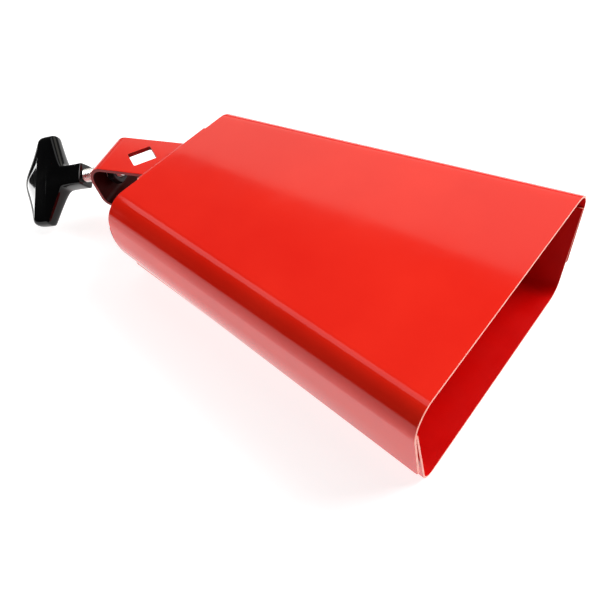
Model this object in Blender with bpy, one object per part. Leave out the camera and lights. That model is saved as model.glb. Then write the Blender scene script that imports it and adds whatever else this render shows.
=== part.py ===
"""Cowbell: two folded steel shells, a rod bracket on the closed end and a T-handle clamp screw.

Frame, in metres: +X runs along the bell to its mouth, +Y across it, +Z up. The bell lies on its flat
underside at z = 0, and the origin is the middle of that underside. Each shell is one folded sheet:
an open surface of flat panels and folds, given its thickness by a Solidify modifier.
"""

from math import atan, cos, pi, radians, sin

import bmesh
import bpy
from mathutils import Matrix, Vector

GAP = 0.0003

# Bell
LENGTH = 0.200
CLOSED_X = -LENGTH / 2
MOUTH_X = LENGTH / 2
MOUTH_WIDTH = 0.1604
CLOSED_WIDTH = 0.1040
MOUTH_HEIGHT = 0.0626
CLOSED_HEIGHT = 0.0563
SHEET = 0.0012
FOLD_STEPS = 7
MOUTH_FOLD = 0.012
CLOSED_FOLD = 0.0135
BOTTOM_FOLD = 0.010
OUTER_LEAN = 0.167
OUTER_CURVE = 0.040
OUTER_CURVE_TOP = 0.038
OUTER_HEIGHTS = (0.017, 0.022, 0.027, 0.0325, 0.038)
INNER_LEAN = 0.223
INNER_TOP_DROP = 0.0125

# Closed end: a narrow flange bent down from the upper shell, over a wide one bent up from the lower shell
BEND = 0.0024
BEND_STEPS = 4
UPPER_FLANGE_WIDTH = 0.052
UPPER_FLANGE_FOOT = 0.0075
LOWER_SET_BACK = SHEET + GAP
LOWER_FLANGE_HEIGHTS = (0.004, 0.007, 0.012, 0.043, 0.047, 0.051, 0.054)
FLANGE_EDGE_GAP = 0.0004
END_WELD_WIDTH = 0.0024
END_WELD_LOW = 0.019
END_WELD_HIGH = 0.041
END_WELD_STATIONS = 5

# Bracket: a strap in its own upright plane, turned by YAW; u runs outwards from the closed end
YAW = radians(16.6)
ROOT = Vector((CLOSED_X, -0.001, 0.0))
STRAP_WIDTH = 0.0304
STRAP = 0.0023
PLATE_TOP = 0.0516
PLATE_PITCH = radians(4.2)
TIP_U = 0.0449
TIP_BEND = 0.0088
WALL_TOP = 0.0394
WALL_RADIUS = 0.012
WALL_FLAT = 0.0093
HEEL_RADIUS = 0.0062
HEEL_END = radians(73)
ARC_STEPS = 6
ROD_HOLE_U = 0.0179
ROD_HOLE_SIDE = 0.0132
BEAD_LEG = 0.0028
BEAD_WIDTH = 0.024

# Clamp screw, square to the flat of the bracket's wall but turned SCREW_SKEW further to the side.
# s runs outwards along it from the wall's outer face
SCREW_TILT = radians(16.5)
SCREW_SKEW = radians(5.5)
SCREW_DROP = 0.0021
SCREW_RADIUS = 0.00394
SCREW_IN = -0.0098
SCREW_CHAMFER = 0.0007
WALL_HOLE_RADIUS = 0.0046
NUT_NEAR = -0.0038
NUT_LENGTH = 0.0043
NUT_FLATS = 0.013
NUT_BORE = 0.0040
ROUND = 48

# T-handle: one flat outline, thick enough for the screw's moulded-in head; t runs along the grip
STEM_IN = 0.0158
STEM_HALF = 0.0067
STEM_ROOT = 0.0310
GRIP_REACH = 0.0277
GRIP_INNER = 0.0398
GRIP_OUTER = (
    (0.0277, 0.0485),
    (0.0268, 0.0507),
    (0.0246, 0.0521),
    (0.0190, 0.0540),
    (0.0135, 0.0563),
    (0.0090, 0.0586),
    (0.0055, 0.0600),
    (0.0020, 0.0606),
)
HANDLE_HALF = 0.0061
HANDLE_EDGE = 0.0029
GRIP_ROLL = radians(54)
SOCKET_RADIUS = 0.00402
HEAD_RADIUS = 0.0049
HEAD_LENGTH = 0.0060
HEAD_S = 0.0400
HEAD_CLEARANCE = 0.00008

RED = (0.80, 0.03, 0.02, 1)
BLACK_STEEL = (0.02, 0.02, 0.02, 1)
ZINC = (0.60, 0.60, 0.62, 1)
BLACK_PLASTIC = (0.008, 0.008, 0.009, 1)


def material(name, colour, metallic, roughness):
    made = bpy.data.materials.new(name)
    made.use_nodes = True
    shader = made.node_tree.nodes["Principled BSDF"]
    shader.inputs["Base Color"].default_value = colour
    shader.inputs["Metallic"].default_value = metallic
    shader.inputs["Roughness"].default_value = roughness
    return made


def add_object(name, points, faces, finish=None, matrix=None):
    mesh = bpy.data.meshes.new(name)
    mesh.from_pydata([tuple(p) for p in points], [], faces)
    mesh.update()
    made = bpy.data.objects.new(name, mesh)
    bpy.context.scene.collection.objects.link(made)
    if matrix is not None:
        made.matrix_world = matrix
    if finish is not None:
        mesh.materials.append(finish)
        mesh.shade_smooth()
        mesh.set_sharp_from_angle(angle=radians(35))
    return made


def cutter(name, points, faces, matrix=None):
    made = add_object(name, points, faces, matrix=matrix)
    made.hide_render = True
    made.display_type = "WIRE"
    return made


def cut(target, tool):
    boolean = target.modifiers.new("cut_" + tool.name, "BOOLEAN")
    boolean.operation = "DIFFERENCE"
    boolean.solver = "EXACT"
    boolean.object = tool


def lofted(rings):
    """Points and faces of a closed body through rings of equal length, with flat ends."""
    count = len(rings[0])
    points = [p for ring in rings for p in ring]
    faces = []
    for r in range(len(rings) - 1):
        for i in range(count):
            j = (i + 1) % count
            faces.append((r * count + i, r * count + j, (r + 1) * count + j, (r + 1) * count + i))
    faces.append(tuple(reversed(range(count))))
    faces.append(tuple((len(rings) - 1) * count + i for i in range(count)))
    return points, faces


def turned(profile, steps=ROUND):
    """A body turned about local Z from (radius, height) pairs, lowest first."""
    rings = []
    for radius, height in profile:
        ring = []
        for i in range(steps):
            angle = 2 * pi * i / steps
            ring.append(Vector((radius * cos(angle), radius * sin(angle), height)))
        rings.append(ring)
    return lofted(rings)


# ---------------------------------------------------------------- bell shells


def along_bell(closed, mouth, x):
    """A length that changes evenly from the closed end to the mouth."""
    return closed + (mouth - closed) * (x - CLOSED_X) / LENGTH


def half_width(x):
    return along_bell(CLOSED_WIDTH, MOUTH_WIDTH, x) / 2


def height(x):
    return along_bell(CLOSED_HEIGHT, MOUTH_HEIGHT, x)


def top_fold(x):
    return along_bell(CLOSED_FOLD, MOUTH_FOLD, x)


def outer_wall_y(x, z):
    """The upper shell's outer face below its fold, on the +Y side: curved when closed, straight at the mouth."""
    closed = CLOSED_WIDTH / 2 - max(0, OUTER_CURVE_TOP - z) ** 2 / (2 * OUTER_CURVE)
    lean = atan(OUTER_LEAN)
    start_y = MOUTH_WIDTH / 2 - MOUTH_FOLD + MOUTH_FOLD * cos(lean)
    start_z = MOUTH_HEIGHT - MOUTH_FOLD - MOUTH_FOLD * sin(lean)
    return along_bell(closed, start_y - OUTER_LEAN * (start_z - z), x)


def inner_wall_y(x, z):
    """The lower shell's outer face above its bend: it meets the upper wall's inside just below the fold."""
    top = height(x) - INNER_TOP_DROP
    return outer_wall_y(x, top) - SHEET / cos(atan(OUTER_LEAN)) - GAP - INNER_LEAN * (top - z)


def arc(centre, radius, start, end, steps):
    points = []
    for k in range(steps + 1):
        angle = start + (end - start) * k / steps
        points.append((centre[0] + radius * cos(angle), centre[1] + radius * sin(angle)))
    return points


def upper_half(x):
    """(y, z) of the upper shell's +Y half, foot first, ending on the top plate at the flange's side."""
    lean = along_bell(0, atan(OUTER_LEAN), x)
    centre = (half_width(x) - top_fold(x), height(x) - top_fold(x))
    wall = [(outer_wall_y(x, z), z) for z in OUTER_HEIGHTS]
    fold = arc(centre, top_fold(x), -lean, pi / 2, FOLD_STEPS)
    share = UPPER_FLANGE_WIDTH / 2 / (half_width(CLOSED_X) - CLOSED_FOLD)
    return wall + fold + [(centre[0] * share, height(x))]


def lower_flat(x):
    """Half the width of the flat underside, where the bottom bend begins."""
    lean = atan(INNER_LEAN)
    return inner_wall_y(x, BOTTOM_FOLD - BOTTOM_FOLD * sin(lean)) - BOTTOM_FOLD * cos(lean)


def lower_half(x):
    """(y, z) of the lower shell's +Y half, wall top first, ending where the underside is flat."""
    lean = atan(INNER_LEAN)
    top = height(x) - INNER_TOP_DROP
    bend = arc((lower_flat(x), BOTTOM_FOLD), BOTTOM_FOLD, -lean, -pi / 2, FOLD_STEPS)
    return [(inner_wall_y(x, top), top)] + bend


def flange_half_width(x, z):
    """The closed end's half width at height z, just inside whichever sheet surrounds it there."""
    if z < BOTTOM_FOLD:
        return lower_flat(x) + (BOTTOM_FOLD ** 2 - (BOTTOM_FOLD - z) ** 2) ** 0.5 - FLANGE_EDGE_GAP
    fold_z = height(x) - top_fold(x)
    if z < fold_z:
        return inner_wall_y(x, z) - FLANGE_EDGE_GAP
    radius = top_fold(x) - SHEET - FLANGE_EDGE_GAP
    return half_width(x) - top_fold(x) + (radius ** 2 - (z - fold_z) ** 2) ** 0.5


def shell(name, half, first_x, flange_rows, upwards, finish):
    """A folded sheet: two rows of the section, then the closed end's flange on the section's middle panel."""
    surface = bmesh.new()
    rows = []
    for x in (first_x, MOUTH_X):
        side = half(x)
        section = [(-y, z) for y, z in side] + [(y, z) for y, z in reversed(side)]
        rows.append([surface.verts.new((x, y, z)) for y, z in section])

    def panel(a, b, c, d):
        surface.faces.new((a, b, c, d) if upwards else (d, c, b, a))

    for j in range(len(rows[0]) - 1):
        panel(rows[0][j], rows[1][j], rows[1][j + 1], rows[0][j + 1])
    middle = len(rows[0]) // 2
    left, right = rows[0][middle - 1], rows[0][middle]
    for x, y, z in flange_rows:
        new_left = surface.verts.new((x, -y, z))
        new_right = surface.verts.new((x, y, z))
        panel(new_left, left, right, new_right)
        left, right = new_left, new_right
    mesh = bpy.data.meshes.new(name)
    surface.to_mesh(mesh)
    surface.free()
    mesh.materials.append(finish)
    made = bpy.data.objects.new(name, mesh)
    bpy.context.scene.collection.objects.link(made)
    solid = made.modifiers.new("sheet", "SOLIDIFY")
    solid.thickness = SHEET
    solid.offset = -1
    solid.use_even_offset = True
    return made


def upper_shell(finish):
    centre_x = CLOSED_X + BEND
    centre_z = height(centre_x) - BEND
    side = UPPER_FLANGE_WIDTH / 2
    rows = []
    for k in range(1, BEND_STEPS + 1):
        angle = pi / 2 * k / BEND_STEPS
        rows.append((centre_x - BEND * sin(angle), side, centre_z + BEND * cos(angle)))
    rows.append((CLOSED_X, side, UPPER_FLANGE_FOOT))
    return shell("upper_shell", upper_half, centre_x, rows, True, finish)


def lower_shell(finish):
    face_x = CLOSED_X + LOWER_SET_BACK
    centre_x = face_x + BEND
    flat = lower_flat(centre_x)
    rows = []
    for k in range(1, BEND_STEPS + 1):
        angle = pi / 2 * k / BEND_STEPS
        rows.append((centre_x - BEND * sin(angle), flat, BEND - BEND * cos(angle)))
    for z in LOWER_FLANGE_HEIGHTS:
        rows.append((face_x, flange_half_width(centre_x, z), z))
    return shell("lower_shell", lower_half, centre_x, rows, False, finish)


def end_weld(name, side, finish):
    """A bead down one corner of the closed end, from the lower flange's edge to the outer wall's edge."""
    rings = []
    for k in range(END_WELD_STATIONS):
        z = END_WELD_LOW + (END_WELD_HIGH - END_WELD_LOW) * k / (END_WELD_STATIONS - 1)
        outer = outer_wall_y(CLOSED_X, z) - GAP
        back = CLOSED_X + LOWER_SET_BACK - GAP
        ring = []
        for across, out in arc((0, 0), END_WELD_WIDTH / 2, 0, pi, 6):
            ring.append(Vector((back - out, side * (outer - END_WELD_WIDTH / 2 + across), z)))
        rings.append(ring if side > 0 else list(reversed(ring)))
    return add_object(name, *lofted(rings), finish)


# ---------------------------------------------------------------- bracket

OUTWARD = Vector((-cos(YAW), -sin(YAW), 0))
SIDEWAYS = Vector((sin(YAW), -cos(YAW), 0))
UP = Vector((0, 0, 1))


def in_bracket(u, v, z):
    return ROOT + OUTWARD * u + SIDEWAYS * v + UP * z


def strap_path():
    """(u, z) and unit outward normal along the strap's outer face, from the top plate's root to the foot."""
    plate_normal = (sin(PLATE_PITCH), cos(PLATE_PITCH))
    tip_u = TIP_U - TIP_BEND
    tip_z = PLATE_TOP - tip_u * sin(PLATE_PITCH) / cos(PLATE_PITCH) - TIP_BEND
    path = [((0, PLATE_TOP), plate_normal)]
    for k in range(ARC_STEPS + 1):
        angle = pi / 2 - PLATE_PITCH - (pi / 2 - PLATE_PITCH) * k / ARC_STEPS
        normal = (cos(angle), sin(angle))
        path.append(((tip_u + TIP_BEND * normal[0], tip_z + TIP_BEND * normal[1]), normal))
    centre_u = TIP_U - WALL_RADIUS
    for k in range(ARC_STEPS + 1):
        angle = -SCREW_TILT * k / ARC_STEPS
        normal = (cos(angle), sin(angle))
        path.append(((centre_u + WALL_RADIUS * normal[0], WALL_TOP + WALL_RADIUS * normal[1]), normal))
    wall_u, wall_z = path[-1][0]
    heel_u = wall_u - WALL_FLAT * sin(SCREW_TILT) - HEEL_RADIUS * cos(SCREW_TILT)
    heel_z = wall_z - WALL_FLAT * cos(SCREW_TILT) + HEEL_RADIUS * sin(SCREW_TILT)
    for k in range(ARC_STEPS + 1):
        angle = -(SCREW_TILT + (HEEL_END - SCREW_TILT) * k / ARC_STEPS)
        normal = (cos(angle), sin(angle))
        path.append(((heel_u + HEEL_RADIUS * normal[0], heel_z + HEEL_RADIUS * normal[1]), normal))
    end_u, end_z = path[-1][0]
    foot_z = end_z - end_u * cos(HEEL_END) / sin(HEEL_END)
    path.append(((0, foot_z), path[-1][1]))
    return path


def strap_point(point, v, slope):
    """A path point at sideways place v; a root point is moved along its panel to the closed end's face."""
    u, z = point
    if slope is None:
        return in_bracket(u, v, z)
    root_u = (GAP + v * sin(YAW)) / cos(YAW)
    return in_bracket(root_u, v, z + (root_u - u) * slope)


def mounting_bracket(finish):
    path = strap_path()
    slopes = [-sin(PLATE_PITCH) / cos(PLATE_PITCH)] + [None] * (len(path) - 2)
    slopes.append(cos(HEEL_END) / sin(HEEL_END))
    rings = []
    for (point, normal), slope in zip(path, slopes):
        inner = (point[0] - STRAP * normal[0], point[1] - STRAP * normal[1])
        left, right = -STRAP_WIDTH / 2, STRAP_WIDTH / 2
        rings.append([
            strap_point(point, left, slope),
            strap_point(point, right, slope),
            strap_point(inner, right, slope),
            strap_point(inner, left, slope),
        ])
    strap = add_object("mounting_bracket", *lofted(rings), finish)
    cut(strap, rod_hole_tool())
    cut(strap, round_tool("wall_hole_tool", WALL_HOLE_RADIUS, -0.006, 0.004))
    return strap


def rod_hole_tool():
    """A square prism, corner to corner along the bracket and square to its top plate, through both runs."""
    reach = ROD_HOLE_SIDE / 2 ** 0.5
    corners = [(reach, 0), (0, reach), (-reach, 0), (0, -reach)]
    top = PLATE_TOP - ROD_HOLE_U * sin(PLATE_PITCH)
    rings = []
    for z in (-0.06, 0.01):
        rings.append([Vector((a, b, z)) for a, b in corners])
    axes = Matrix((OUTWARD, SIDEWAYS, OUTWARD.cross(SIDEWAYS))).transposed().to_4x4()
    place = Matrix.Translation(in_bracket(ROD_HOLE_U, 0, top)) @ axes
    return cutter("rod_hole_tool", *lofted(rings), place @ Matrix.Rotation(PLATE_PITCH, 4, "Y"))


def bracket_weld(name, across, drop, slope, finish):
    """A fillet bead under a strap end, along the closed end's face."""
    rings = []
    for v in (-BEAD_WIDTH / 2, BEAD_WIDTH / 2):
        root_u = v * sin(YAW) / cos(YAW)
        top = across + root_u * slope - drop
        x = CLOSED_X - GAP
        y = ROOT.y - v / cos(YAW)
        ring = [Vector((x, y, top))]
        for k in range(5):
            angle = pi / 2 * k / 4
            bulge = BEAD_LEG * (0.80 + 0.12 * sin(2 * angle))
            ring.append(Vector((x - bulge * cos(angle), y, top - bulge * sin(angle))))
        rings.append(ring)
    return add_object(name, *lofted(rings), finish)


# ---------------------------------------------------------------- clamp


def screw_frame():
    """Local +Z outwards along the clamp screw, from the middle of the wall's outer face; +X to the side."""
    u = TIP_U - WALL_RADIUS * (1 - cos(SCREW_TILT)) - SCREW_DROP * sin(SCREW_TILT)
    z = WALL_TOP - WALL_RADIUS * sin(SCREW_TILT) - SCREW_DROP * cos(SCREW_TILT)
    level = OUTWARD * cos(SCREW_SKEW) + SIDEWAYS * sin(SCREW_SKEW)
    sideways = SIDEWAYS * cos(SCREW_SKEW) - OUTWARD * sin(SCREW_SKEW)
    along = level * cos(SCREW_TILT) - UP * sin(SCREW_TILT)
    axes = Matrix((sideways, along.cross(sideways), along)).transposed().to_4x4()
    return Matrix.Translation(in_bracket(u, 0, z)) @ axes


def round_tool(name, radius, low, high):
    return cutter(name, *turned([(radius, low), (radius, high)]), screw_frame())


def clamp_nut(finish):
    corner = NUT_FLATS / 2 / cos(pi / 6)
    near, far = NUT_NEAR - NUT_LENGTH, NUT_NEAR
    profile = [(corner, near), (corner, far)]
    nut = add_object("clamp_nut", *turned(profile, 6), finish, screw_frame())
    cut(nut, round_tool("nut_bore_tool", NUT_BORE, near - 0.002, far + 0.002))
    return nut


def clamp_screw(finish):
    head = HEAD_S + HEAD_LENGTH
    profile = [
        (SCREW_RADIUS - SCREW_CHAMFER, SCREW_IN),
        (SCREW_RADIUS, SCREW_IN + SCREW_CHAMFER),
        (SCREW_RADIUS, HEAD_S),
        (HEAD_RADIUS, HEAD_S),
        (HEAD_RADIUS, head),
    ]
    return add_object("clamp_screw", *turned(profile), finish, screw_frame())


def handle_outline():
    """(t, s) round the handle: up one side from the stem's end, over the crown and down the other."""
    half = [(STEM_HALF, STEM_IN), (STEM_HALF, STEM_ROOT), (GRIP_REACH, GRIP_INNER)] + list(GRIP_OUTER)
    return half + [(-t, s) for t, s in reversed(half)]


def t_handle(finish):
    """The outline given its thickness and rounded edges, with a stepped socket for the screw's head."""
    rings = []
    for across in (-HANDLE_HALF, HANDLE_HALF):
        rings.append([Vector((t, across, s)) for t, s in reversed(handle_outline())])
    place = screw_frame() @ Matrix.Rotation(GRIP_ROLL - pi / 2, 4, "Z")
    handle = add_object("t_handle", *lofted(rings), finish, place)
    edges = handle.modifiers.new("rounded_edges", "BEVEL")
    edges.width = HANDLE_EDGE
    edges.segments = 4
    edges.limit_method = "ANGLE"
    edges.angle_limit = radians(60)
    low = HEAD_S - HEAD_CLEARANCE
    high = HEAD_S + HEAD_LENGTH + HEAD_CLEARANCE
    pocket = HEAD_RADIUS + HEAD_CLEARANCE
    socket = [
        (SOCKET_RADIUS, STEM_IN - 0.002),
        (SOCKET_RADIUS, low),
        (pocket, low),
        (pocket, high),
    ]
    cut(handle, cutter("handle_socket_tool", *turned(socket), screw_frame()))
    return handle


def main():
    for old in list(bpy.data.objects):
        bpy.data.objects.remove(old, do_unlink=True)
    paint = material("red_gloss_paint", RED, 0.0, 0.22)
    bracket_paint = material("bracket_red_paint", RED, 0.0, 0.25)
    weld_paint = material("painted_weld", RED, 0.0, 0.35)
    nut_black = material("black_oxide_steel", BLACK_STEEL, 0.8, 0.4)
    screw_steel = material("zinc_plated_steel", ZINC, 1.0, 0.3)
    plastic = material("black_gloss_plastic", BLACK_PLASTIC, 0.0, 0.15)
    upper_shell(paint)
    lower_shell(paint)
    end_weld("end_weld_left", 1, weld_paint)
    end_weld("end_weld_right", -1, weld_paint)
    mounting_bracket(bracket_paint)
    plate_slope = -sin(PLATE_PITCH) / cos(PLATE_PITCH)
    foot_slope = cos(HEEL_END) / sin(HEEL_END)
    foot_z = strap_path()[-1][0][1]
    bracket_weld("bracket_weld_upper", PLATE_TOP, STRAP + 2 * GAP, plate_slope, weld_paint)
    bracket_weld("bracket_weld_lower", foot_z, 2 * GAP, foot_slope, weld_paint)
    clamp_nut(nut_black)
    clamp_screw(screw_steel)
    t_handle(plastic)


main()
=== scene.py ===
"""Looks for the cowbell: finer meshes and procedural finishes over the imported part, in the same frame.

Metres. +X runs to the mouth, +Y across the bell, +Z up, and the bell lies on z = 0.
"""

from math import atan, cos, floor, pi, radians, sin, tan

import bmesh
import bpy
from mathutils import Matrix, Vector


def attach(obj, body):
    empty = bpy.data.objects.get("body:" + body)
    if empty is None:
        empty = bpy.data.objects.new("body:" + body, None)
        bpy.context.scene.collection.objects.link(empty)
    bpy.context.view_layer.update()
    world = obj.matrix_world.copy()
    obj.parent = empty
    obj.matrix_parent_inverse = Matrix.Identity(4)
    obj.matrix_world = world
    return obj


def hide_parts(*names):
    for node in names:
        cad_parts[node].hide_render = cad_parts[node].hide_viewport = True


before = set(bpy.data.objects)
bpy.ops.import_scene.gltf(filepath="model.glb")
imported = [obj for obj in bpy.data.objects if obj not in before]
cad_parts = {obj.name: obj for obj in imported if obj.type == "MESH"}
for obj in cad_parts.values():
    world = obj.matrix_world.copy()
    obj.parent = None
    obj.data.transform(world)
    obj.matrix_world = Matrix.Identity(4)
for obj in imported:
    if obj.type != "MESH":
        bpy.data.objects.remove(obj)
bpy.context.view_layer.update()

# ---- Bell, the same folded sections as the part. The mouth stops a hair short, to stay inside its box
GAP = 0.0003
LENGTH = 0.200
CLOSED_X = -LENGTH / 2
MOUTH_MARGIN = 0.00001
MOUTH_X = LENGTH / 2 - MOUTH_MARGIN
MOUTH_WIDTH = 0.1604
CLOSED_WIDTH = 0.1040
MOUTH_HEIGHT = 0.0626
CLOSED_HEIGHT = 0.0563
SHEET = 0.0012
MOUTH_FOLD = 0.012
CLOSED_FOLD = 0.0135
BOTTOM_FOLD = 0.010
OUTER_LEAN = 0.167
OUTER_CURVE = 0.040
OUTER_CURVE_TOP = 0.038
OUTER_FOOT = 0.017
INNER_LEAN = 0.223
INNER_TOP_DROP = 0.0125
BEND = 0.0024
UPPER_FLANGE_WIDTH = 0.052
UPPER_FLANGE_FOOT = 0.0075
LOWER_SET_BACK = SHEET + GAP
LOWER_FLANGE_TOP = 0.054
FLANGE_EDGE_GAP = 0.0004
END_WELD_WIDTH = 0.0024
END_WELD_LOW = 0.019
END_WELD_HIGH = 0.041
FOOT_CORNER = 0.0045
MOUTH_CORNER = 0.0012
RIPPLE_DEPTH = 0.00005
SHEET_EDGE = 0.00026

# ---- How finely the sheets are divided
SHELL_ROWS = 34
FOLD_STEPS = 16
WALL_STEPS = 12
PLATE_STEPS = 6
MIDDLE_STEPS = 16
FLANGE_STEPS = 14
BEND_STEPS = 8
FOOT_STEPS = 8
LOW_FLANGE_STEPS = 6

# ---- Weld beads
END_WELD_STEPS = 90
END_WELD_ROUND = 10
FILLET_STEPS = 100
FILLET_ROUND = 8
FILLET_SIDE = 0.80
FILLET_BULGE = 0.12
PUDDLE = 0.0013
PUDDLE_DIP = 0.07
BEAD_TAPER = 0.0016
BEAD_START = 0.15

# ---- Bracket
YAW = radians(16.6)
ROOT = Vector((CLOSED_X, -0.001, 0.0))
STRAP_WIDTH = 0.0304
STRAP = 0.0023
STRAP_EDGE = 0.0005
CUT_EDGE = 0.00035
PLATE_TOP = 0.0516
PLATE_PITCH = radians(4.2)
TIP_U = 0.0449
TIP_BEND = 0.0088
WALL_TOP = 0.0394
WALL_RADIUS = 0.012
WALL_FLAT = 0.0093
HEEL_RADIUS = 0.0062
HEEL_END = radians(73)
ARC_STEPS = 14
ROD_HOLE_U = 0.0179
ROD_HOLE_SIDE = 0.0132
ROD_HOLE_CORNER = 0.0010
BEAD_LEG = 0.0028
BEAD_WIDTH = 0.024
HOLE_STEPS = 64
EDGE_STEPS = 4
CORNER_STEPS = 6
ROD_CUT = (-0.06, 0.01)
WALL_CUT = (-0.006, 0.004)

# ---- Clamp
SCREW_TILT = radians(16.5)
SCREW_SKEW = radians(5.5)
SCREW_DROP = 0.0021
THREAD_CREST = 0.00394
THREAD_ROOT = 0.00326
THREAD_PITCH = 0.00125
THREAD_END = 0.0300
THREAD_FADE = 0.002
CREST_SHARE = 0.12
FLANK_SHARE = 0.70
THREAD_STEPS = 40
TURN_STEPS = 10
LEAD_DROP = 0.0001
SCREW_IN = -0.0098
WALL_HOLE_RADIUS = 0.0046
NUT_NEAR = -0.0038
NUT_LENGTH = 0.0043
NUT_FLATS = 0.013
NUT_BORE = 0.0040
NUT_CHAMFER = 0.0005
NUT_EDGE = 0.00012
NUT_STEPS = 144
NUT_CORNER_CUT = 0.0011
NUT_EDGE_CUT = 0.00068
STEM_IN = 0.0158
GRIP_REACH = 0.02765
GRIP_TOP = 0.0603
HANDLE_HALF = 0.0060
# Half the handle's outline, from the stem's end to the crown. Each corner has its place across the
# screw's axis and out along it, and how far the cage steps in and down there for the round-over.
HANDLE_CAGE = (
    (0.0052, 0.0158, 0.0008, 0.0008),
    (0.0067, 0.0159, 0.0009, 0.0009),
    (0.0067, 0.0175, 0.0010, 0.0009),
    (0.0067, 0.0296, 0.0016, 0.0012),
    (0.0082, 0.0317, 0.0028, 0.0020),
    (0.0258, 0.0388, 0.0032, 0.0026),
    (0.0280, 0.0396, 0.0033, 0.0028),
    (0.0282, 0.0416, 0.0034, 0.0028),
    (0.0282, 0.0488, 0.0034, 0.0028),
    (0.0271, 0.0516, 0.0034, 0.0028),
    (0.0246, 0.0530, 0.0040, 0.0029),
    (0.0190, 0.0547, 0.0047, 0.0030),
    (0.0135, 0.0567, 0.0050, 0.0031),
    (0.0085, 0.0589, 0.0051, 0.0031),
    (0.0030, 0.0611, 0.0050, 0.0031),
)
GRIP_SMOOTHING = 3
GRIP_ROLL = radians(54)
SOCKET_RADIUS = 0.00402
SOCKET_OVERCUT = 0.002
HEAD_RADIUS = 0.0049
HEAD_LENGTH = 0.0060
HEAD_EDGE = 0.0003
HEAD_S = 0.0400
HEAD_CLEARANCE = 0.00008


# ---------------------------------------------------------------- mesh helpers


def mesh_object(name, points, faces, matrix=None):
    """A linked object whose mesh has the points already moved by the matrix."""
    mesh = bpy.data.meshes.new(name)
    place = Matrix.Identity(4) if matrix is None else matrix
    mesh.from_pydata([tuple(place @ Vector(p)) for p in points], [], faces)
    mesh.update()
    made = bpy.data.objects.new(name, mesh)
    bpy.context.scene.collection.objects.link(made)
    return made


def face_outwards(obj):
    solid = bmesh.new()
    solid.from_mesh(obj.data)
    bmesh.ops.recalc_face_normals(solid, faces=solid.faces)
    solid.to_mesh(obj.data)
    solid.free()
    obj.data.shade_smooth()


def bands(count, pairs):
    """The faces that join each pair of rings, numbered in order, with count points to a ring."""
    faces = []
    for low, high in pairs:
        for i in range(count):
            j = (i + 1) % count
            faces.append((low * count + i, low * count + j, high * count + j, high * count + i))
    return faces


def lofted(rings):
    """A closed body through the rings, capped at both ends."""
    count, last = len(rings[0]), len(rings) - 1
    faces = bands(count, [(r, r + 1) for r in range(last)])
    faces.append(tuple(reversed(range(count))))
    faces.append(tuple(last * count + i for i in range(count)))
    return [p for ring in rings for p in ring], faces


def looped(rings):
    """Like lofted, but the last ring joins the first, so the body has a bore and no caps."""
    pairs = [(r, (r + 1) % len(rings)) for r in range(len(rings))]
    return [p for ring in rings for p in ring], bands(len(rings[0]), pairs)


def circle(radius, height, steps):
    return [Vector((radius * cos(2 * pi * i / steps), radius * sin(2 * pi * i / steps), height))
            for i in range(steps)]


def arc(centre, radius, start, end, steps):
    """(x, y) points round part of a circle, both ends included."""
    points = []
    for k in range(steps + 1):
        angle = start + (end - start) * k / steps
        points.append((centre[0] + radius * cos(angle), centre[1] + radius * sin(angle)))
    return points


def spread(low, high, steps):
    """steps + 1 evenly spaced values from low to high."""
    return [low + (high - low) * k / steps for k in range(steps + 1)]


def add_bevel(obj, width, segments, angle):
    edges = obj.modifiers.new("rounded_edges", "BEVEL")
    edges.width = width
    edges.segments = segments
    edges.limit_method = "ANGLE"
    edges.angle_limit = radians(angle)


def add_weighted_normals(obj):
    weighted = obj.modifiers.new("flat_faces_stay_flat", "WEIGHTED_NORMAL")
    weighted.weight = 60


def carve(target, tools):
    """Applies the target's modifiers, cuts the tools out of its mesh for good, and removes them."""
    for tool in tools:
        boolean = target.modifiers.new("cut", "BOOLEAN")
        boolean.operation = "DIFFERENCE"
        boolean.solver = "EXACT"
        boolean.object = tool
    graph = bpy.context.evaluated_depsgraph_get()
    graph.update()
    cut_mesh = bpy.data.meshes.new_from_object(target.evaluated_get(graph))
    target.modifiers.clear()
    target.data = cut_mesh
    for tool in tools:
        bpy.data.objects.remove(tool, do_unlink=True)


# ---------------------------------------------------------------- bell shells


def along_bell(closed, mouth, x):
    """The value at x of something that runs straight from its closed end value to its mouth value."""
    return closed + (mouth - closed) * (x - CLOSED_X) / LENGTH


def half_width(x):
    return along_bell(CLOSED_WIDTH, MOUTH_WIDTH, x) / 2


def height(x):
    return along_bell(CLOSED_HEIGHT, MOUTH_HEIGHT, x)


def top_fold(x):
    return along_bell(CLOSED_FOLD, MOUTH_FOLD, x)


def outer_wall_y(x, z):
    """The outer face of the upper sheet's +Y wall: curved at the closed end, straight at the mouth."""
    closed = CLOSED_WIDTH / 2 - max(0, OUTER_CURVE_TOP - z) ** 2 / (2 * OUTER_CURVE)
    lean = atan(OUTER_LEAN)
    start_y = MOUTH_WIDTH / 2 - MOUTH_FOLD + MOUTH_FOLD * cos(lean)
    start_z = MOUTH_HEIGHT - MOUTH_FOLD - MOUTH_FOLD * sin(lean)
    return along_bell(closed, start_y - OUTER_LEAN * (start_z - z), x)


def inner_wall_y(x, z):
    """The outer face of the lower sheet's +Y wall: just inside the upper sheet's, and leaning in more."""
    top = height(x) - INNER_TOP_DROP
    return outer_wall_y(x, top) - SHEET / cos(atan(OUTER_LEAN)) - GAP - INNER_LEAN * (top - z)


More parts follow.
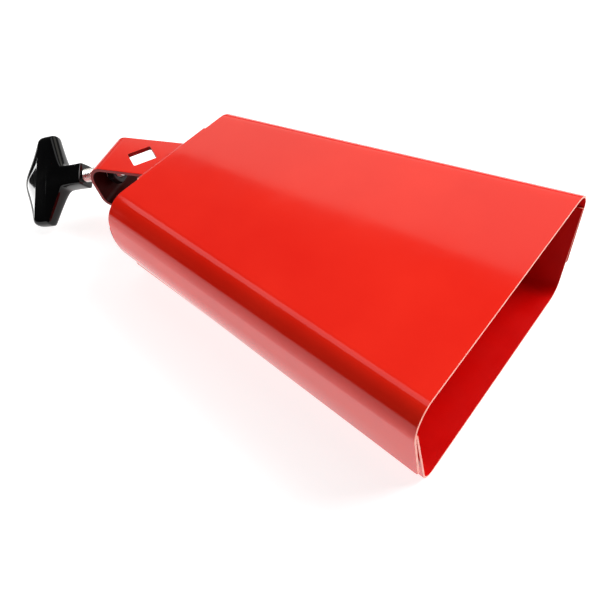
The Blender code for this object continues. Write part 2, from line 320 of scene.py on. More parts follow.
def upper_half(x):
    """(y, z) of the upper shell's +Y half, foot first, ending where the flange's panel begins."""
    lean = along_bell(0, atan(OUTER_LEAN), x)
    centre = (half_width(x) - top_fold(x), height(x) - top_fold(x))
    foot = [OUTER_FOOT + FOOT_CORNER * (1 - cos(pi / 2 * k / FOOT_STEPS)) for k in range(FOOT_STEPS)]
    heights = foot + spread(OUTER_FOOT + FOOT_CORNER, OUTER_CURVE_TOP, WALL_STEPS)
    wall = [(outer_wall_y(x, z), z) for z in heights]
    fold = arc(centre, top_fold(x), -lean, pi / 2, FOLD_STEPS)
    share = UPPER_FLANGE_WIDTH / 2 / (half_width(CLOSED_X) - CLOSED_FOLD)
    plate = [(centre[0] + (centre[0] * share - centre[0]) * k / PLATE_STEPS, height(x))
             for k in range(1, PLATE_STEPS + 1)]
    return wall + fold + plate


def lower_flat(x):
    """Half the width of the flat underside."""
    lean = atan(INNER_LEAN)
    return inner_wall_y(x, BOTTOM_FOLD - BOTTOM_FOLD * sin(lean)) - BOTTOM_FOLD * cos(lean)


def lower_half(x):
    """(y, z) of the lower shell's +Y half, wall top first, ending where the underside is flat."""
    lean = atan(INNER_LEAN)
    top = height(x) - INNER_TOP_DROP
    bend = arc((lower_flat(x), BOTTOM_FOLD), BOTTOM_FOLD, -lean, -pi / 2, FOLD_STEPS)
    wall = [(inner_wall_y(x, z), z) for z in spread(top, bend[0][1], WALL_STEPS)[:-1]]
    return wall + bend


def flange_half_width(x, z):
    """Half the width of the lower sheet's flange at a height, just inside the walls and the folds."""
    if z < BOTTOM_FOLD:
        return lower_flat(x) + (BOTTOM_FOLD ** 2 - (BOTTOM_FOLD - z) ** 2) ** 0.5 - FLANGE_EDGE_GAP
    fold_z = height(x) - top_fold(x)
    if z < fold_z:
        return inner_wall_y(x, z) - FLANGE_EDGE_GAP
    radius = top_fold(x) - SHEET - FLANGE_EDGE_GAP
    return half_width(x) - top_fold(x) + (radius ** 2 - (z - fold_z) ** 2) ** 0.5


def full_section(half, x):
    """The whole section from -Y to +Y, with the middle panel divided evenly."""
    side = half(x)
    edge, level = side[-1]
    middle = [(edge * (2 * k / MIDDLE_STEPS - 1), level) for k in range(1, MIDDLE_STEPS)]
    return [(-y, z) for y, z in side] + middle + [(y, z) for y, z in reversed(side)]


def ripple(x, y, z):
    """How far a pressed sheet dips below true at a point: long, shallow waves, never outwards.

    The factors of x, y and z are in radians per metre.
    """
    first = sin(52 * x + 3.1 * sin(31 * y) + 0.7)
    second = sin(67 * y - 23 * x + 40 * z + 1.9)
    third = sin(34 * x + 71 * y - 18 * z)
    return RIPPLE_DEPTH * (3 + first + second + third) / 3


def corner_setback(rise, radius):
    """How far a rounded corner draws an edge back at a height above its end."""
    if rise >= radius:
        return 0.0
    return radius - (radius ** 2 - (radius - rise) ** 2) ** 0.5


def sheet_shell(name, half, first_x, flange_rows, upwards, foot):
    """A folded sheet: the half section run along the bell, a flange across its closed end, then thickness.

    upwards is True where the plate's outer face looks up. Corners at the height foot are rounded, if given.
    """
    surface = bmesh.new()
    end_section = full_section(half, first_x)
    count = len(end_section)
    grid = []
    for i in range(SHELL_ROWS):
        share = i / (SHELL_ROWS - 1)
        row = []
        for j in range(count):
            start, end = first_x, MOUTH_X
            if foot is not None:
                rise = end_section[j][1] - foot
                start += corner_setback(rise, FOOT_CORNER)
                end -= corner_setback(rise, MOUTH_CORNER)
            x = start + (end - start) * share
            y, z = full_section(half, x)[j]
            row.append(surface.verts.new((x, y, z)))
        grid.append(row)

    def panel(a, b, c, d):
        surface.faces.new((a, b, c, d) if upwards else (d, c, b, a))

    for first, second in zip(grid, grid[1:]):
        for j in range(count - 1):
            panel(first[j], second[j], second[j + 1], first[j + 1])
    middle = (count - MIDDLE_STEPS - 1) // 2
    last = grid[0][middle:middle + MIDDLE_STEPS + 1]
    for x, y, z in flange_rows:
        row = [surface.verts.new((x, y * (2 * k / MIDDLE_STEPS - 1), z))
               for k in range(MIDDLE_STEPS + 1)]
        for k in range(MIDDLE_STEPS):
            panel(row[k], last[k], last[k + 1], row[k + 1])
        last = row
    surface.normal_update()
    dips = [(v, v.normal * ripple(*v.co)) for v in surface.verts]
    for vertex, dip in dips:
        vertex.co -= dip
    mesh = bpy.data.meshes.new(name)
    surface.to_mesh(mesh)
    surface.free()
    made = bpy.data.objects.new(name, mesh)
    bpy.context.scene.collection.objects.link(made)
    mesh.shade_smooth()
    solid = made.modifiers.new("sheet", "SOLIDIFY")
    solid.thickness = SHEET
    solid.offset = -1
    solid.use_even_offset = True
    # The inner faces take slot 2, the painted shade of the bell's inside; the rims take slot 1.
    solid.material_offset = 2
    solid.material_offset_rim = 1
    add_bevel(made, SHEET_EDGE, segments=2, angle=50)
    add_weighted_normals(made)
    return made


def bend_rows(centre_x, side, centre_z, way):
    """Rows round the bend from a plate to its flange; way is 1 for the top plate, -1 for the underside."""
    rows = []
    for k in range(1, BEND_STEPS + 1):
        angle = pi / 2 * k / BEND_STEPS
        rows.append((centre_x - BEND * sin(angle), side, centre_z + way * BEND * cos(angle)))
    return rows


def upper_shell():
    centre_x = CLOSED_X + BEND
    centre_z = height(centre_x) - BEND
    side = UPPER_FLANGE_WIDTH / 2
    rows = bend_rows(centre_x, side, centre_z, 1)
    for z in spread(centre_z, UPPER_FLANGE_FOOT, FLANGE_STEPS)[1:]:
        rows.append((CLOSED_X, side, z))
    return sheet_shell("upper_shell_sheet", upper_half, centre_x, rows, True, OUTER_FOOT)


def lower_shell():
    face_x = CLOSED_X + LOWER_SET_BACK
    centre_x = face_x + BEND
    flat = lower_flat(centre_x)
    rows = bend_rows(centre_x, flat, BEND, -1)
    curved = spread(BEND, BOTTOM_FOLD, LOW_FLANGE_STEPS)[1:]
    straight = spread(BOTTOM_FOLD, LOWER_FLANGE_TOP, FLANGE_STEPS)[1:]
    for z in curved + straight:
        rows.append((face_x, flange_half_width(centre_x, z), z))
    return sheet_shell("lower_shell_sheet", lower_half, centre_x, rows, False, None)


def bead_swell(place, along):
    """The share of a bead's full size at a place along it: overlapping puddles, tapered at both ends."""
    puddle = 1 - PUDDLE_DIP + PUDDLE_DIP * abs(sin(pi * place * along / PUDDLE))
    end = min(place, 1 - place) * along
    return puddle * min(1, (BEAD_START + end / BEAD_TAPER) ** 0.5)


def end_weld(name, side):
    """A bead up one corner of the closed end, on the face of the lower sheet's flange."""
    rings = []
    length = END_WELD_HIGH - END_WELD_LOW
    for share in spread(0, 1, END_WELD_STEPS):
        z = END_WELD_LOW + length * share
        outer = outer_wall_y(CLOSED_X, z) - GAP
        back = CLOSED_X + LOWER_SET_BACK - GAP
        swell = bead_swell(share, length)
        ring = []
        for across, out in arc((0, 0), END_WELD_WIDTH / 2 * swell, 0, pi, END_WELD_ROUND):
            ring.append(Vector((back - out, side * (outer - END_WELD_WIDTH / 2 + across), z)))
        rings.append(ring)
    made = mesh_object(name, *lofted(rings))
    face_outwards(made)
    add_weighted_normals(made)
    return made


# ---------------------------------------------------------------- bracket

OUTWARD = Vector((-cos(YAW), -sin(YAW), 0))
SIDEWAYS = Vector((sin(YAW), -cos(YAW), 0))
UP = Vector((0, 0, 1))


def in_bracket(u, v, z):
    """A point u outwards along the bracket from the closed end, v to its side and z up."""
    return ROOT + OUTWARD * u + SIDEWAYS * v + UP * z


def strap_path():
    """((u, z), normal) along the strap's outer face, from the top plate's root round to the foot's."""
    plate_normal = (sin(PLATE_PITCH), cos(PLATE_PITCH))
    tip_u = TIP_U - TIP_BEND
    tip_z = PLATE_TOP - tip_u * tan(PLATE_PITCH) - TIP_BEND
    path = [((0, PLATE_TOP), plate_normal)]
    for k in range(ARC_STEPS + 1):
        angle = pi / 2 - PLATE_PITCH - (pi / 2 - PLATE_PITCH) * k / ARC_STEPS
        normal = (cos(angle), sin(angle))
        path.append(((tip_u + TIP_BEND * normal[0], tip_z + TIP_BEND * normal[1]), normal))
    centre_u = TIP_U - WALL_RADIUS
    for k in range(ARC_STEPS + 1):
        angle = -SCREW_TILT * k / ARC_STEPS
        normal = (cos(angle), sin(angle))
        path.append(((centre_u + WALL_RADIUS * normal[0], WALL_TOP + WALL_RADIUS * normal[1]), normal))
    wall_u, wall_z = path[-1][0]
    heel_u = wall_u - WALL_FLAT * sin(SCREW_TILT) - HEEL_RADIUS * cos(SCREW_TILT)
    heel_z = wall_z - WALL_FLAT * cos(SCREW_TILT) + HEEL_RADIUS * sin(SCREW_TILT)
    for k in range(ARC_STEPS + 1):
        angle = -(SCREW_TILT + (HEEL_END - SCREW_TILT) * k / ARC_STEPS)
        normal = (cos(angle), sin(angle))
        path.append(((heel_u + HEEL_RADIUS * normal[0], heel_z + HEEL_RADIUS * normal[1]), normal))
    end_u, end_z = path[-1][0]
    path.append(((0, end_z - end_u / tan(HEEL_END)), path[-1][1]))
    return path


def strap_point(point, v, slope):
    """A point of the strap. Where a slope is given, it slides down that slope to the closed end's face."""
    u, z = point
    if slope is None:
        return in_bracket(u, v, z)
    root_u = (GAP + v * sin(YAW)) / cos(YAW)
    return in_bracket(root_u, v, z + (root_u - u) * slope)


def strap_profile():
    """(v, depth) round the strap, its four long edges rounded."""
    ring = []
    for side, level, start in ((-1, -1, pi), (1, -1, 1.5 * pi), (1, 1, 0), (-1, 1, pi / 2)):
        centre = (side * (STRAP_WIDTH / 2 - STRAP_EDGE), STRAP / 2 + level * (STRAP / 2 - STRAP_EDGE))
        ring += arc(centre, STRAP_EDGE, start, start + pi / 2, EDGE_STEPS)
    return ring


def mounting_bracket():
    path = strap_path()
    slopes = [-tan(PLATE_PITCH)] + [None] * (len(path) - 2) + [1 / tan(HEEL_END)]
    rings = []
    for (point, normal), slope in zip(path, slopes):
        ring = []
        for v, depth in strap_profile():
            inner = (point[0] - depth * normal[0], point[1] - depth * normal[1])
            ring.append(strap_point(inner, v, slope))
        rings.append(ring)
    strap = mesh_object("mounting_bracket_strap", *lofted(rings))
    face_outwards(strap)
    carve(strap, [rod_hole_tool(), wall_hole_tool()])
    strap.data.shade_smooth()
    sort_strap_faces(strap)
    add_bevel(strap, CUT_EDGE, segments=3, angle=42)
    add_weighted_normals(strap)
    return strap


def sort_strap_faces(strap):
    """Marks the strap's faces: 0 on its outside, 1 on its cut edges and in its holes, 2 on its inside. Slots
    1 and 2 get painted shade.
    """
    path = strap_path()
    for _ in range(3):
        strap.data.materials.append(None)
    for polygon in strap.data.polygons:
        offset = polygon.center - ROOT
        spot = Vector((offset.dot(OUTWARD), polygon.center.z))
        best = None
        for (start, first), (end, second) in zip(path, path[1:]):
            start, run = Vector(start), Vector(end) - Vector(start)
            share = min(1, max(0, (spot - start).dot(run) / run.length_squared))
            gap = (spot - start - run * share).length
            if best is None or gap < best[0]:
                best = (gap, Vector(first) * (1 - share) + Vector(second) * share)
        normal = best[1].normalized()
        outwards = OUTWARD * normal.x + UP * normal.y
        facing = polygon.normal.dot(outwards)
        edge_on = abs(polygon.normal.dot(SIDEWAYS)) > 0.6
        polygon.material_index = 0 if facing > 0.5 else 1 if edge_on and facing > -0.5 else 2


def wall_hole_tool():
    """A cylinder along the clamp screw, from behind the bracket's outer wall to in front of it."""
    ends = [circle(WALL_HOLE_RADIUS, along, HOLE_STEPS) for along in WALL_CUT]
    tool = mesh_object("wall_hole", *lofted(ends), screw_frame())
    face_outwards(tool)
    return tool


def rod_hole_tool():
    """A square bar with its corners outwards and sideways, through both runs of the strap."""
    reach = (ROD_HOLE_SIDE / 2 - ROD_HOLE_CORNER) * 2 ** 0.5
    outline = []
    for quarter in range(4):
        middle = quarter * pi / 2
        centre = (reach * cos(middle), reach * sin(middle))
        outline += arc(centre, ROD_HOLE_CORNER, middle - pi / 4, middle + pi / 4, CORNER_STEPS)
    top = PLATE_TOP - ROD_HOLE_U * sin(PLATE_PITCH)
    rings = [[Vector((a, b, z)) for a, b in outline] for z in ROD_CUT]
    axes = Matrix((OUTWARD, SIDEWAYS, OUTWARD.cross(SIDEWAYS))).transposed().to_4x4()
    place = Matrix.Translation(in_bracket(ROD_HOLE_U, 0, top)) @ axes
    tool = mesh_object("rod_hole", *lofted(rings), place @ Matrix.Rotation(PLATE_PITCH, 4, "Y"))
    face_outwards(tool)
    return tool


def bracket_weld(name, root_z, drop, slope):
    """A fillet bead that hangs drop below root_z, where the strap's outer face meets the closed end."""
    rings = []
    for share in spread(0, 1, FILLET_STEPS):
        v = BEAD_WIDTH * (share - 0.5)
        root_u = v * tan(YAW)
        top = root_z + root_u * slope - drop
        x = CLOSED_X - GAP
        y = ROOT.y - v / cos(YAW)
        swell = bead_swell(share, BEAD_WIDTH)
        ring = [Vector((x, y, top))]
        for k in range(FILLET_ROUND + 1):
            angle = pi / 2 * k / FILLET_ROUND
            bulge = BEAD_LEG * (FILLET_SIDE + FILLET_BULGE * sin(2 * angle)) * swell
            ring.append(Vector((x - bulge * cos(angle), y, top - bulge * sin(angle))))
        rings.append(ring)
    made = mesh_object(name, *lofted(rings))
    face_outwards(made)
    add_weighted_normals(made)
    return made


# ---------------------------------------------------------------- clamp


def screw_frame():
    """Local +Z outwards along the clamp screw from the bracket wall's outer face; +X to the side."""
    u = TIP_U - WALL_RADIUS * (1 - cos(SCREW_TILT)) - SCREW_DROP * sin(SCREW_TILT)
    z = WALL_TOP - WALL_RADIUS * sin(SCREW_TILT) - SCREW_DROP * cos(SCREW_TILT)
    level = OUTWARD * cos(SCREW_SKEW) + SIDEWAYS * sin(SCREW_SKEW)
    sideways = SIDEWAYS * cos(SCREW_SKEW) - OUTWARD * sin(SCREW_SKEW)
    along = level * cos(SCREW_TILT) - UP * sin(SCREW_TILT)
    axes = Matrix((sideways, along.cross(sideways), along)).transposed().to_4x4()
    return Matrix.Translation(in_bracket(u, 0, z)) @ axes


def clamp_nut():
    """A hexagon nut, its corners cut back at both ends and its bore chamfered."""
    near, far = NUT_NEAR - NUT_LENGTH, NUT_NEAR
    corner = NUT_FLATS / 2 / cos(pi / 6)

    def hexagon(angle):
        turned = (angle % (pi / 3)) - pi / 6
        return NUT_FLATS / 2 / cos(turned)

    levels = [(near, NUT_CORNER_CUT), (near + NUT_EDGE, NUT_EDGE_CUT), (near + NUT_CHAMFER, 0.0),
              (far - NUT_CHAMFER, 0.0), (far - NUT_EDGE, NUT_EDGE_CUT), (far, NUT_CORNER_CUT)]
    rings = []
    for z, cut in levels:
        ring = []
        for i in range(NUT_STEPS):
            angle = 2 * pi * i / NUT_STEPS
            radius = min(hexagon(angle), corner - cut)
            ring.append(Vector((radius * cos(angle), radius * sin(angle), z)))
        rings.append(ring)
    rings.append(circle(NUT_BORE + NUT_CHAMFER, far, NUT_STEPS))
    rings.append(circle(NUT_BORE, far - NUT_CHAMFER, NUT_STEPS))
    rings.append(circle(NUT_BORE, near + NUT_CHAMFER, NUT_STEPS))
    rings.append(circle(NUT_BORE + NUT_CHAMFER, near, NUT_STEPS))
    made = mesh_object("clamp_nut_hex", *looped(rings), screw_frame())
    face_outwards(made)
    add_bevel(made, NUT_EDGE, segments=2, angle=25)
    add_weighted_normals(made)
    return made


def thread_radius(angle, z):
    """The screw's radius: flat crests, straight flanks and flat roots, fading out into the shank.

    Its inner end has a 45 degree chamfer.
    """
    turn = z / THREAD_PITCH - angle / (2 * pi)
    share = abs(2 * (turn - floor(turn)) - 1)
    flank = min(1, max(0, (share - CREST_SHARE) / FLANK_SHARE))
    depth = (THREAD_CREST - THREAD_ROOT) * flank
    fade = min(1, max(0, (THREAD_END - z) / THREAD_FADE))
    lead = min(THREAD_CREST, THREAD_ROOT - LEAD_DROP + (z - SCREW_IN))
    return min(THREAD_CREST - depth * fade, lead)


def clamp_screw():
    rings = []
    z = SCREW_IN
    while z < THREAD_END:
        ring = []
        for i in range(THREAD_STEPS):
            angle = 2 * pi * i / THREAD_STEPS
            radius = thread_radius(angle, z)
            ring.append(Vector((radius * cos(angle), radius * sin(angle), z)))
        rings.append(ring)
        z += THREAD_PITCH / TURN_STEPS
    head = HEAD_S + HEAD_LENGTH
    for radius, level in (
        (THREAD_CREST, THREAD_END),
        (THREAD_CREST, HEAD_S),
        (HEAD_RADIUS - HEAD_EDGE, HEAD_S),
        (HEAD_RADIUS, HEAD_S + HEAD_EDGE),
        (HEAD_RADIUS, head - HEAD_EDGE),
        (HEAD_RADIUS - HEAD_EDGE, head),
    ):
        rings.append(circle(radius, level, THREAD_STEPS))
    made = mesh_object("clamp_screw_threaded", *lofted(rings), screw_frame())
    face_outwards(made)
    add_weighted_normals(made)
    return made


def inset_outline(outline):
    """Each (t, s, inset, drop) moved inwards by its inset, square to the outline there."""
    made = []
    count = len(outline)
    for i in range(count):
        here = Vector(outline[i][:2])
        before = (here - Vector(outline[i - 1][:2])).normalized()
        after = (Vector(outline[(i + 1) % count][:2]) - here).normalized()
        inwards = Vector((-before.y - after.y, before.x + after.x)).normalized()
        made.append(here + inwards * outline[i][2])
    return made


def handle_cage():
    """A coarse cage for the grip, two flat sides and a rim round each, to be smoothed."""
    outline = list(HANDLE_CAGE) + [(-t, s, inset, drop) for t, s, inset, drop in reversed(HANDLE_CAGE)]
    count = len(outline)
    inner = inset_outline(outline)
    rings = []
    for side in (-1, 1):
        flat = [Vector((p.x, side * HANDLE_HALF, p.y)) for p in inner]
        rim = [Vector((t, side * (HANDLE_HALF - drop), s)) for t, s, inset, drop in outline]
        rings += [flat, rim] if side < 0 else [rim, flat]
    faces = bands(count, [(0, 1), (1, 2), (2, 3)])
    for first in (0, 3 * count):
        for i in range(count // 2 - 1):
            faces.append((first + i, first + i + 1, first + count - 2 - i, first + count - 1 - i))
    return mesh_object("t_handle_grip", [p for ring in rings for p in ring], faces)


def fit_mesh(mesh, wanted):
    """Stretches a mesh along each axis until its box is the wanted ((low, high), ...)."""
    lows = [min(v.co[k] for v in mesh.vertices) for k in range(3)]
    highs = [max(v.co[k] for v in mesh.vertices) for k in range(3)]
    for vertex in mesh.vertices:
        for k, (low, high) in enumerate(wanted):
            share = (vertex.co[k] - lows[k]) / (highs[k] - lows[k])
            vertex.co[k] = low + (high - low) * share


def handle_socket():
    """The room for the screw and its captive head inside the handle."""
    low = HEAD_S - HEAD_CLEARANCE
    high = HEAD_S + HEAD_LENGTH + HEAD_CLEARANCE
    pocket = HEAD_RADIUS + HEAD_CLEARANCE
    steps = ((SOCKET_RADIUS, STEM_IN - SOCKET_OVERCUT), (SOCKET_RADIUS, low), (pocket, low), (pocket, high))
    rings = [circle(radius, level, HOLE_STEPS) for radius, level in steps]
    socket = mesh_object("handle_socket", *lofted(rings), screw_frame())
    face_outwards(socket)
    return socket


def t_handle():
    """A moulded grip with a broad round-over on the arms and a tight one on the stem."""
    handle = handle_cage()
    face_outwards(handle)
    smooth = handle.modifiers.new("moulded", "SUBSURF")
    smooth.levels = GRIP_SMOOTHING
    smooth.render_levels = GRIP_SMOOTHING
    carve(handle, [])
    fit_mesh(handle.data, ((-GRIP_REACH, GRIP_REACH), (-HANDLE_HALF, HANDLE_HALF), (STEM_IN, GRIP_TOP)))
    handle.data.transform(screw_frame() @ Matrix.Rotation(GRIP_ROLL - pi / 2, 4, "Z"))
    carve(handle, [handle_socket()])
    handle.data.shade_smooth()
    handle.data.set_sharp_from_angle(angle=radians(50))
    return handle


# ---------------------------------------------------------------- finishes


class Finish:
    """A material and short ways to add nodes to it."""

    def __init__(self, name):
        self.made = bpy.data.materials.new(name)
        self.made.use_nodes = True
        self.tree = self.made.node_tree
        self.shader = self.tree.nodes["Principled BSDF"]
        self.place = self.add("ShaderNodeTexCoord").outputs["Object"]

    def add(self, kind, **settings):
        node = self.tree.nodes.new(kind)
        for key, value in settings.items():
            setattr(node, key, value)
        return node

    def join(self, source, target):
        self.tree.links.new(source, target)

    def noise(self, scale, detail, distortion=0.0):
        """Noise in metres: at a scale of 100, its features are about 10 mm across."""
        node = self.add("ShaderNodeTexNoise")
        node.inputs["Scale"].default_value = scale
        node.inputs["Detail"].default_value = detail
        node.inputs["Distortion"].default_value = distortion
        self.join(self.place, node.inputs["Vector"])
        return node.outputs["Fac"]

    def between(self, value, low, high, out_low=0.0, out_high=1.0):
        """out_low to out_high as the value goes from low to high, and level beyond them."""
        node = self.add("ShaderNodeMapRange")
        node.inputs["From Min"].default_value = low
        node.inputs["From Max"].default_value = high
        node.inputs["To Min"].default_value = out_low
        node.inputs["To Max"].default_value = out_high
        self.join(value, node.inputs["Value"])
        return node.outputs["Result"]

    def maths(self, operation, first, second):
        node = self.add("ShaderNodeMath", operation=operation)
        for socket, value in zip(node.inputs, (first, second)):
            if isinstance(value, (int, float)):
                socket.default_value = value
            else:
                self.join(value, socket)
        return node.outputs["Value"]

    def mix(self, factor, first, second):
        node = self.add("ShaderNodeMix", data_type="RGBA")
        self.join(factor, node.inputs["Factor"])
        for socket, value in ((node.inputs["A"], first), (node.inputs["B"], second)):
            if isinstance(value, tuple):
                socket.default_value = value
            else:
                self.join(value, socket)
        return node.outputs["Result"]

    def edges(self, radius):
        """Near 1 on an outside or inside edge, 0 away from it."""
        rounded = self.add("ShaderNodeBevel", samples=6)
        rounded.inputs["Radius"].default_value = radius
        flat = self.add("ShaderNodeNewGeometry")
        dot = self.add("ShaderNodeVectorMath", operation="DOT_PRODUCT")
        self.join(rounded.outputs["Normal"], dot.inputs[0])
        self.join(flat.outputs["Normal"], dot.inputs[1])
        return self.between(self.maths("SUBTRACT", 1.0, dot.outputs["Value"]), 0.02, 0.25)

    def bump(self, heights):
        """Chains bumps, each (value, distance in metres, strength)."""
        normal = None
        for value, distance, strength in heights:
            node = self.add("ShaderNodeBump")
            node.inputs["Distance"].default_value = distance
            node.inputs["Strength"].default_value = strength
            self.join(value, node.inputs["Height"])
            if normal is not None:
                self.join(normal, node.inputs["Normal"])
            normal = node.outputs["Normal"]
        self.join(normal, self.shader.inputs["Normal"])

    def colour(self, value):
        self.join(value, self.shader.inputs["Base Color"])

    def roughness(self, value, low, high, smooth, rough):
        """Roughness from smooth to rough as a noise goes from low to high."""
        self.join(self.between(value, low, high, smooth, rough), self.shader.inputs["Roughness"])

    def even(self, socket, value):
        """Sets one of the shader's sockets to the same value all over."""
        self.shader.inputs[socket].default_value = value


def paint(name, deep, light, edge, roughness, peel, edge_radius):
    """Gloss paint, clouded between two reds, worn on its edges, with orange peel and a few dust specks."""
    finish = Finish(name)
    cloud = finish.between(finish.noise(14, 3), 0.35, 0.65)
    colour = finish.mix(cloud, deep, light)
    patches = finish.between(finish.noise(220, 3), 0.35, 0.7)
    wear = finish.maths("MULTIPLY", finish.edges(edge_radius), patches)
    finish.colour(finish.mix(wear, colour, edge))
    finish.roughness(finish.noise(38, 4, 0.6), 0.35, 0.75, roughness, roughness + 0.05)
    dust = finish.between(finish.noise(1100, 1), 0.76, 0.82)
    finish.bump([(finish.noise(380, 1.0), 0.00003, peel), (dust, 0.00002, 0.3)])
    finish.even("IOR", 1.46)
    finish.even("Coat Weight", 0.05)
    finish.even("Coat Roughness", 0.04)
    return finish.made


def painted_shade_finish(name, deep, light, level):
    """Painted shade: darker red with duller reflections, for the faces in shadow in the bell, in the strap
    and on its edges.
    """
    finish = Finish(name)
    patch = finish.between(finish.noise(45, 4), 0.3, 0.7)
    speck = finish.between(finish.noise(900, 2), 0.70, 0.76)
    finish.colour(finish.mix(speck, finish.mix(patch, deep, light), deep))
    finish.roughness(finish.noise(60, 3), 0.3, 0.7, 0.32, 0.5)
    finish.even("Specular IOR Level", level)
    finish.bump([(finish.noise(500, 3), 0.00005, 0.35)])
    return finish.made


def cut_edge_paint():
    """A paler, pinker red than the faces, for the sheets' cut edges."""
    finish = Finish("cut_edge_paint")
    patch = finish.between(finish.noise(160, 4), 0.35, 0.7)
    finish.colour(finish.mix(patch, (0.90, 0.36, 0.27, 1), (0.86, 0.20, 0.14, 1)))
    finish.roughness(finish.noise(300, 2), 0.3, 0.7, 0.25, 0.45)
    finish.bump([(finish.noise(900, 3), 0.00006, 0.5)])
    return finish.made


def black_oxide():
    """Blackened steel, rubbed bare in places on its edges."""
    finish = Finish("black_oxide_steel")
    finish.even("Metallic", 0.9)
    patches = finish.between(finish.noise(500, 3), 0.4, 0.7)
    bare = finish.maths("MULTIPLY", finish.edges(0.0004), patches)
    finish.colour(finish.mix(bare, (0.025, 0.025, 0.027, 1), (0.32, 0.31, 0.30, 1)))
    finish.roughness(finish.noise(300, 4), 0.3, 0.7, 0.28, 0.48)
    finish.bump([(finish.noise(700, 4), 0.00004, 0.4)])
    return finish.made


def zinc():
    finish = Finish("zinc_plated_steel")
    finish.even("Metallic", 1.0)
    tint = finish.between(finish.noise(260, 3), 0.3, 0.7)
    finish.colour(finish.mix(tint, (0.62, 0.63, 0.64, 1), (0.80, 0.80, 0.78, 1)))
    finish.roughness(finish.noise(420, 4), 0.3, 0.7, 0.20, 0.38)
    finish.bump([(finish.noise(1400, 3), 0.00003, 0.35)])
    return finish.made


def black_plastic():
    """Moulded gloss plastic, with faint scuffs and a slightly uneven skin."""
    finish = Finish("black_gloss_plastic")
    scuff = finish.between(finish.noise(55, 5, 1.2), 0.35, 0.75)
    finish.colour(finish.mix(scuff, (0.0012, 0.0012, 0.0014, 1), (0.0026, 0.0026, 0.0028, 1)))
    finish.roughness(scuff, 0, 1, 0.05, 0.10)
    finish.bump([(finish.noise(260, 1), 0.00006, 0.10), (finish.noise(2200, 2), 0.00001, 0.15)])
    finish.even("IOR", 1.49)
    finish.even("Specular IOR Level", 0.32)
    return finish.made


def studio_floor():
    """A pale floor that glows softly, as a light table does."""
    finish = Finish("studio_floor")
    finish.colour(finish.mix(finish.noise(3, 3), (0.42, 0.42, 0.42, 1), (0.45, 0.45, 0.45, 1)))
    finish.even("Roughness", 0.85)
    finish.even("Specular IOR Level", 0.2)
    finish.even("Emission Color", (1, 1, 1, 1))
    finish.even("Emission Strength", 0.82)
    return finish.made


# ---------------------------------------------------------------- pieces

RED_DEEP = (0.76, 0.011, 0.003, 1)
RED_LIGHT = (0.82, 0.018, 0.006, 1)
RED_EDGE = (0.90, 0.18, 0.13, 1)
body_paint = paint("red_gloss_paint", RED_DEEP, RED_LIGHT, RED_EDGE,
                   roughness=0.065, peel=0.10, edge_radius=0.0004)
strap_paint = paint("bracket_red_paint", RED_DEEP, RED_LIGHT, RED_EDGE,
                    roughness=0.13, peel=0.14, edge_radius=0.0005)
bead_paint = paint("painted_weld", (0.62, 0.010, 0.006, 1), RED_LIGHT, RED_EDGE,
                   roughness=0.24, peel=0.40, edge_radius=0.0003)
edge_paint = cut_edge_paint()
# Painted shade: darker, duller reds for the bell's inside and for the strap's cut edges and inside, standing
# in for the shadow there.
inside_painted_shade = painted_shade_finish("inside_red_painted_shade", (0.50, 0.0008, 0.0005, 1), (0.56, 0.0016, 0.0009, 1),
                            level=0.05)
strap_edge_painted_shade = painted_shade_finish("strap_edge_painted_shade", (0.16, 0.004, 0.004, 1), (0.30, 0.006, 0.005, 1),
                                level=0.30)
strap_inside_painted_shade = painted_shade_finish("strap_inside_painted_shade", (0.012, 0.002, 0.002, 1), (0.045, 0.003, 0.003, 1),
                                  level=0.08)


def place_piece(obj, node, body, slot, *materials):
    """Gives a piece its finishes by slot index, and says what it rides on and which node it replaces."""
    slots = obj.data.materials
    for index, material in enumerate(materials):
        if index < len(slots):
            slots[index] = material
        else:
            slots.append(material)
    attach(obj, body)
    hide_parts(node)


foot_height = strap_path()[-1][0][1]
# The sheets' inner faces take the painted shade of the bell's inside.
place_piece(upper_shell(), "upper_shell", "bell", "red_paint", body_paint, edge_paint, inside_painted_shade)
place_piece(lower_shell(), "lower_shell", "bell", "red_paint", body_paint, edge_paint, inside_painted_shade)
place_piece(end_weld("end_weld_left_bead", 1), "end_weld_left", "bell", "painted_weld", bead_paint)
place_piece(end_weld("end_weld_right_bead", -1), "end_weld_right", "bell", "painted_weld", bead_paint)
# The strap's cut edges and inside take painted shade.
place_piece(mounting_bracket(), "mounting_bracket", "bell", "bracket_paint",
            strap_paint, strap_edge_painted_shade, strap_inside_painted_shade)
place_piece(bracket_weld("bracket_weld_upper_bead", PLATE_TOP, STRAP + 2 * GAP, -tan(PLATE_PITCH)),
            "bracket_weld_upper", "bell", "painted_weld", bead_paint)
place_piece(bracket_weld("bracket_weld_lower_bead", foot_height, 2 * GAP, 1 / tan(HEEL_END)),
            "bracket_weld_lower", "bell", "painted_weld", bead_paint)
place_piece(clamp_nut(), "clamp_nut", "bell", "black_steel", black_oxide())
place_piece(clamp_screw(), "clamp_screw", "screw", "zinc_steel", zinc())
place_piece(t_handle(), "t_handle", "handle", "black_plastic", black_plastic())

# ---------------------------------------------------------------- setting

FLOOR_REACH = 6
FLOOR_Z = -0.0002
corners = ((-1, -1), (1, -1), (1, 1), (-1, 1))
floor_piece = mesh_object("studio_floor", [(FLOOR_REACH * x, FLOOR_REACH * y, FLOOR_Z) for x, y in corners],
                          [(0, 1, 2, 3)])
floor_piece.data.materials.append(studio_floor())


def soft_box(name, centre, target, size, power, colour=(1, 1, 1)):
    """A rectangular area light that looks from its centre to its target; power in watts."""
    light = bpy.data.lights.new(name, "AREA")
    light.shape = "RECTANGLE"
    light.size, light.size_y = size
    light.energy = power
    light.color = colour
    made = bpy.data.objects.new(name, light)
    bpy.context.scene.collection.objects.link(made)
    made.location = centre
    made.visible_camera = False
    made.rotation_mode = "QUATERNION"
    made.rotation_quaternion = (Vector(target) - Vector(centre)).to_track_quat("-Z", "Y")


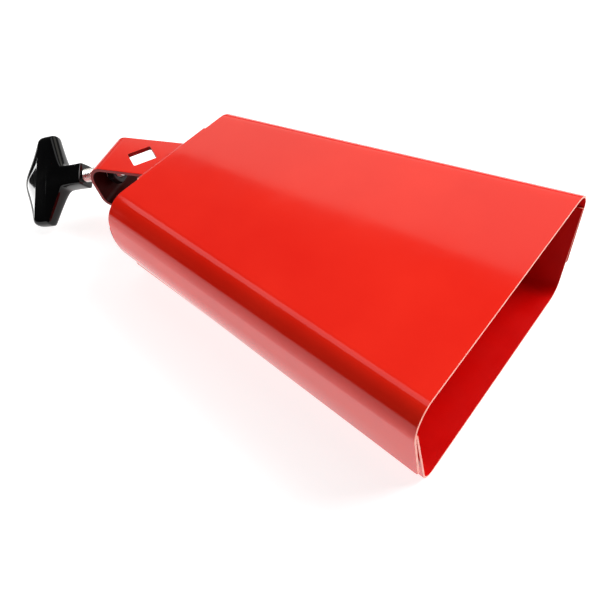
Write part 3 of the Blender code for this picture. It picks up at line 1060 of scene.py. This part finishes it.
# The far light's near edge is y = 0.74 at z = 0.8, and its reflection crosses the bell's top face.
soft_box("far_light", centre=(-0.4, 1.64, 0.8), target=(-0.4, 1.64, 0), size=(3.2, 1.8), power=18,
         colour=(1, 0.96, 0.84))
soft_box("key_light", centre=(0.70, 0.80, 1.15), target=(0, 0, 0), size=(1.0, 1.0), power=31)
# A long strip high over and behind the closed end, which shows as the pale line along the near fold.
soft_box("fold_light", centre=(-0.65, 0.16, 1.2), target=(-0.65, 0.16, 0), size=(1.5, 0.45), power=2.4)
# A small light close to the handle, for the streak on its grip.
soft_box("grip_light", centre=(-0.47, -0.195, 0.09), target=(-0.18, -0.035, 0.02), size=(0.08, 0.17),
         power=0.9)


ROOM_DARK = 0.03
ROOM_PALE = 0.16
ROOM_DARK_Y = -0.2
ROOM_PALE_Y = 0.6


def dark_front_room():
    """A room that is palest at the back and nearly dark in front, where the near fold's reflection looks."""
    world = bpy.data.worlds.new("studio")
    bpy.context.scene.world = world
    world.use_nodes = True
    tree = world.node_tree
    way = tree.nodes.new("ShaderNodeTexCoord")
    parts = tree.nodes.new("ShaderNodeSeparateXYZ")
    tree.links.new(way.outputs["Generated"], parts.inputs["Vector"])
    grade = tree.nodes.new("ShaderNodeMapRange")
    grade.interpolation_type = "SMOOTHSTEP"
    grade.inputs["From Min"].default_value = ROOM_DARK_Y
    grade.inputs["From Max"].default_value = ROOM_PALE_Y
    grade.inputs["To Min"].default_value = ROOM_DARK
    grade.inputs["To Max"].default_value = ROOM_PALE
    tree.links.new(parts.outputs["Y"], grade.inputs["Value"])
    tree.links.new(grade.outputs["Result"], tree.nodes["Background"].inputs["Strength"])
    tree.nodes["Background"].inputs["Color"].default_value = (1, 1, 1, 1)


dark_front_room()

bpy.context.scene.view_settings.view_transform = "Standard"

# ---------------------------------------------------------------- camera

CAMERA_PLACE = Vector((0.17240522, -0.22289936, 0.30012488))
CAMERA_PITCH = 0.8230514
CAMERA_ROLL = -0.0927510
CAMERA_YAW = -0.7033579
CAMERA_SHIFT = (-0.00435, 0.0042)
SENSOR = 36.0
FOCAL_LENGTH = 46.046788

yaw_part = Matrix((
    (cos(CAMERA_YAW), -sin(CAMERA_YAW), 0),
    (sin(CAMERA_YAW), cos(CAMERA_YAW), 0),
    (0, 0, 1),
))
pitch_part = Matrix((
    (1, 0, 0),
    (0, -sin(CAMERA_PITCH), -cos(CAMERA_PITCH)),
    (0, cos(CAMERA_PITCH), -sin(CAMERA_PITCH)),
))
roll_part = Matrix((
    (cos(CAMERA_ROLL), -sin(CAMERA_ROLL), 0),
    (sin(CAMERA_ROLL), cos(CAMERA_ROLL), 0),
    (0, 0, 1),
))
# The turned frame's rows are the camera's right, down and ahead.
right, down, ahead = roll_part @ pitch_part @ yaw_part
lens = bpy.data.cameras.new("photo_camera")
lens.sensor_width = SENSOR
lens.lens = FOCAL_LENGTH
lens.shift_x, lens.shift_y = CAMERA_SHIFT
lens.clip_start = 0.01
lens.clip_end = 50
camera = bpy.data.objects.new("photo_camera", lens)
bpy.context.scene.collection.objects.link(camera)
camera.matrix_world = Matrix.Translation(CAMERA_PLACE) @ Matrix((right, -down, -ahead)).transposed().to_4x4()
bpy.context.scene.camera = camera

bpy.context.view_layer.update()
